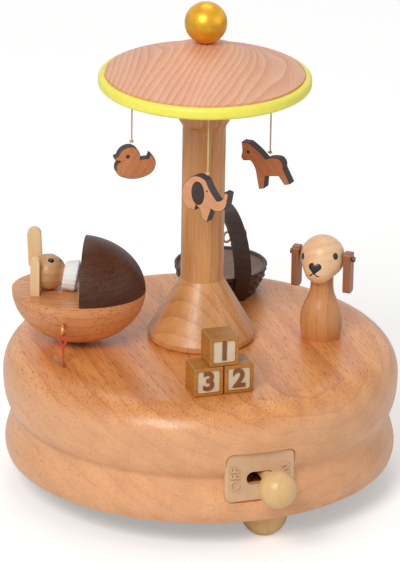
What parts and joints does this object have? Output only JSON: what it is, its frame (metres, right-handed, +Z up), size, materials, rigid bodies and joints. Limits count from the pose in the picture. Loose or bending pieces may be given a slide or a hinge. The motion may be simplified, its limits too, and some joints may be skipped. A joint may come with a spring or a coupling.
{
  "type": "wind-up musical carousel",
  "caption": "Turned wooden musical carousel: a wind-up base whose column carries a turning canopy with hanging figures, beside a rocking cradle, dog, basket and toy blocks.",
  "frame": {"origin": "middle of the underside of its bounding box, in the plane of the three foot flats that the object stands on; the column's axis stands 6.525 mm behind it, towards +Y", "axes": "+Z up along the column and spindle; -Y is the front, with the stop switch"},
  "size_m": [0.1148, 0.1278, 0.1445],
  "materials": {
    "beech": "satin clear varnish over turned beech",
    "pale_wood": "satin, pale hornbeam",
    "walnut": "satin oiled walnut",
    "red_wood": "satin reddish walnut",
    "figure_wood": "laser-cut sheet with charred edges",
    "block_wood": "stained ochre brown",
    "yellow_paint": "smooth satin lemon yellow paint",
    "gold": "metallic gold lacquer",
    "brass": "plain brass",
    "zinc": "cast zinc",
    "steel": "bright steel",
    "spring_steel": "blued spring steel",
    "beige_plastic": "moulded beige plastic",
    "white_cloth": "white cotton",
    "grey_cloth": "grey felt",
    "gold_thread": "fine gold thread",
    "red_thread": "red twisted cord",
    "fibreboard": "brown fibreboard"
  },
  "bodies": {
    "base": {"base_body": "beech", "bottom_cover": "fibreboard", "cover_screws": "steel", "foot_screws": "steel", "ball_foot_1": "pale_wood", "ball_foot_2": "pale_wood", "ball_foot_3": "pale_wood", "column": "beech", "column_bushes": "brass", "switch_plate": "beige_plastic", "cradle_post": "steel", "lever_bracket": "steel", "dog_body": "beech", "dog_head": "pale_wood", "dog_ear_nails": "steel", "toy_block_1": "block_wood", "toy_block_2": "block_wood", "toy_block_3": "block_wood", "basket_bowl": "walnut", "basket_handle": "walnut", "basket_bow": "gold_thread", "movement_bedplate": "zinc", "movement_screws": "steel", "comb": "steel", "comb_screws": "steel", "governor_frame": "zinc"},
    "carousel": {"spring_barrel": "brass", "mainspring": "spring_steel", "spindle": "steel", "rocker_cam": "brass", "canopy_dome": "beech", "canopy_ring": "yellow_paint", "finial_ball": "gold"},
    "duck": {"duck_plate": "figure_wood", "duck_thread": "gold_thread"},
    "elephant": {"elephant_plate": "figure_wood", "elephant_thread": "gold_thread"},
    "horse": {"horse_plate": "figure_wood", "horse_thread": "gold_thread"},
    "winder": {"winding_arbor": "steel", "winding_key": "steel"},
    "cylinder": {"pin_cylinder": "brass", "cylinder_arbor": "brass"},
    "governor": {"governor_wheel": "brass"},
    "fly": {"fly_worm": "brass"},
    "switch": {"switch_knob": "pale_wood", "stop_slider": "steel"},
    "cradle": {"cradle_bowl": "beech", "cradle_hood": "walnut", "cradle_pin": "steel", "screw_eye": "brass", "rabbit_head": "pale_wood", "rabbit_ears": "pale_wood", "rabbit_collar": "white_cloth", "rabbit_blanket": "grey_cloth"},
    "string": {"pull_string": "red_thread"},
    "lever": {"pull_lever": "steel"},
    "dog_ear_left": {"dog_ear_left": "red_wood"},
    "dog_ear_right": {"dog_ear_right": "red_wood"}
  },
  "joints": [
    {"name": "canopy_spin", "type": "hinge", "parent": "base", "child": "carousel", "pos_m": [0, 0.00653, 0.12], "axis": [0, 0, 1], "continuous": true},
    {"name": "winding_key_turn", "type": "hinge", "parent": "base", "child": "winder", "pos_m": [0, 0.00653, 0.009], "axis": [0, 0, 1], "continuous": true},
    {"name": "cylinder_spin", "type": "hinge", "parent": "base", "child": "cylinder", "pos_m": [0, -0.01798, 0.02705], "axis": [0, 1, 0], "continuous": true},
    {"name": "governor_spin", "type": "hinge", "parent": "base", "child": "governor", "pos_m": [-0.00861, -0.02347, 0.02303], "axis": [0, 1, 0], "continuous": true},
    {"name": "fly_spin", "type": "hinge", "parent": "base", "child": "fly", "pos_m": [-0.01385, -0.02357, 0.02303], "axis": [0, 0, 1], "continuous": true},
    {"name": "stop_switch_slide", "type": "slide", "parent": "base", "child": "switch", "axis": [1, 0, 0], "range_m": [-0.0043, 0]},
    {"name": "cradle_rock", "type": "hinge", "parent": "base", "child": "cradle", "pos_m": [-0.0352, 0.01273, 0.0572], "axis": [-0.9272, 0.3746, 0], "range_deg": [-7, 7]},
    {"name": "string_pull", "type": "hinge", "parent": "cradle", "child": "string", "pos_m": [-0.04458, -0.00355, 0.0535], "axis": [-0.9272, 0.3746, 0], "range_deg": [-7, 7]},
    {"name": "lever_rock", "type": "hinge", "parent": "base", "child": "lever", "pos_m": [-0.01736, -0.00102, 0.0313], "axis": [0.1392, -0.9903, 0], "range_deg": [-5, 5]},
    {"name": "dog_ear_left_swing", "type": "hinge", "parent": "base", "child": "dog_ear_left", "pos_m": [0.03969, -0.00761, 0.0681], "axis": [0.788, -0.6157, 0], "range_deg": [-40, 40]},
    {"name": "dog_ear_right_swing", "type": "hinge", "parent": "base", "child": "dog_ear_right", "pos_m": [0.02731, 0.00206, 0.0681], "axis": [0.788, -0.6157, 0], "range_deg": [-40, 40]},
    {"name": "elephant_swing", "type": "hinge", "parent": "carousel", "child": "elephant", "pos_m": [-0.0059, -0.0155, 0.1205], "axis": [0.9659, -0.2588, 0], "range_deg": [-12, 12]},
    {"name": "horse_swing", "type": "hinge", "parent": "carousel", "child": "horse", "pos_m": [0.02202, 0.01243, 0.1205], "axis": [-0.2588, 0.9659, 0], "range_deg": [-12, 12]},
    {"name": "duck_swing", "type": "hinge", "parent": "carousel", "child": "duck", "pos_m": [-0.01694, 0.02178, 0.1205], "axis": [-0.6691, -0.7431, 0], "range_deg": [-12, 12]}
  ],
  "couplings": [
    {"joint": "cylinder_spin", "follows": "canopy_spin", "ratio": -4},
    {"joint": "governor_spin", "follows": "canopy_spin", "ratio": 16},
    {"joint": "string_pull", "follows": "cradle_rock", "ratio": -1},
    {"joint": "lever_rock", "follows": "cradle_rock", "ratio": -0.68889}
  ]
}
